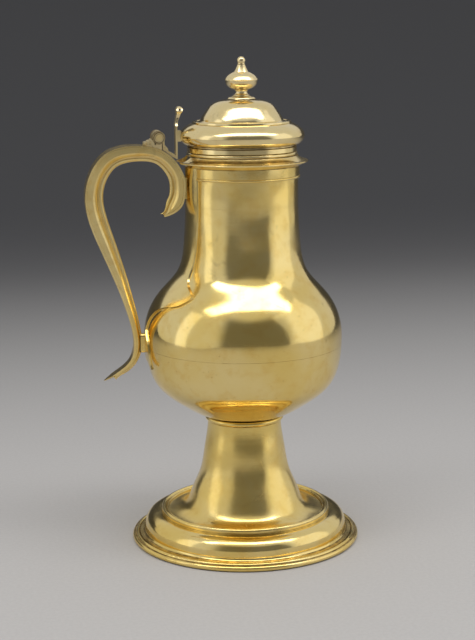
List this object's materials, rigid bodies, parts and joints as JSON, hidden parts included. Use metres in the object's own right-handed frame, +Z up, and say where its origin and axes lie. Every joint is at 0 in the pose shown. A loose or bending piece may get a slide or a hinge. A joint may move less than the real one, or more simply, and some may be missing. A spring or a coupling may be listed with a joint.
{
  "type": "lidded flagon",
  "caption": "Pear-shaped flagon on a trumpet foot, with a scroll handle and a domed hinged lid that a thumbpiece lifts.",
  "frame": {"origin": "centre of the ring that the foot stands on, on the vessel's axis", "axes": "+Z up along the vessel's axis; the handle and the hinge are on the -X side; the hinge pin lies along Y"},
  "size_m": [0.1843, 0.1572, 0.3297],
  "materials": {
    "foot": "polished, lightly worn, with turning marks",
    "vessel": "polished, lightly scratched and pitted",
    "mouldings": "polished, darker in the grooves",
    "backplate": "polished, darker along its edge",
    "handle": "polished, lightly worn",
    "hinge": "polished, darker in the gaps",
    "lid": "polished, lightly scratched",
    "finial": "polished, turned"
  },
  "bodies": {
    "vessel": {"foot_rim": "foot", "foot_plinth": "foot", "foot_bead": "foot", "foot_spool": "foot", "pedestal_collar": "foot", "bowl": "vessel", "shoulder": "vessel", "neck": "vessel", "neck_wire": "mouldings", "neck_band": "mouldings", "drip_flange": "mouldings", "mouth_band": "mouldings", "handle_backplate": "backplate", "upper_handle_seat": "handle", "lower_handle_block": "handle", "handle_channel": "handle", "handle_back_strip": "handle", "hinge_handle_leaf": "hinge", "hinge_pin": "hinge"},
    "lid": {"lid_rim": "lid", "lid_dome": "lid", "lid_bezel": "lid", "hinge_lid_strap": "hinge", "thumbpiece": "hinge", "finial_base": "finial", "finial": "finial", "finial_washer": "finial"}
  },
  "joints": [
    {"name": "lid_hinge", "type": "hinge", "parent": "vessel", "child": "lid", "pos_m": [-0.0564, 0, 0.278], "axis": [0, -1, 0], "range_deg": [0, 125]}
  ]
}
